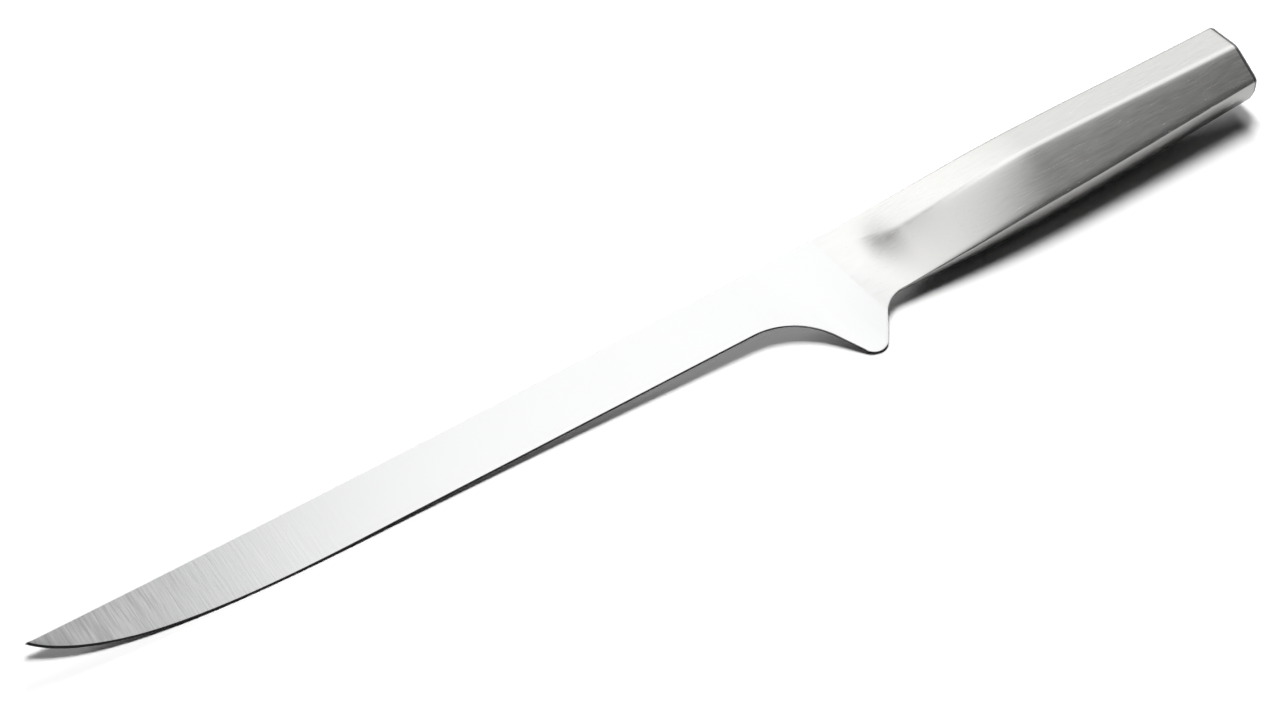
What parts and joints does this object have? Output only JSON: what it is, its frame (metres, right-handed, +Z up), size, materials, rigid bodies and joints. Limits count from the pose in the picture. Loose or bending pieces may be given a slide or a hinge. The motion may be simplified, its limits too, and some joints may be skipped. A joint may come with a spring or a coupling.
{
  "type": "fillet knife",
  "caption": "All-steel fillet knife: slim flat-ground blade with upswept belly, finger guard and swelling neck, and a hollow six-sided handle closed by a butt cap.",
  "frame": {"origin": "centre of the knife's footprint on the table that it lies on, at the table's surface", "axes": "+X from the point towards the butt, +Y from the edge towards the spine, +Z up from the table"},
  "size_m": [0.3154, 0.0324, 0.0154],
  "materials": {
    "ground_steel": "fine grinding lines across the blade, bright sharpened bevel",
    "satin_steel": "satin brushed along the handle"
  },
  "bodies": {
    "root": {"blade": "ground_steel", "handle_shell_upper": "satin_steel", "handle_shell_lower": "satin_steel", "butt_cap": "satin_steel"}
  },
  "joints": []
}
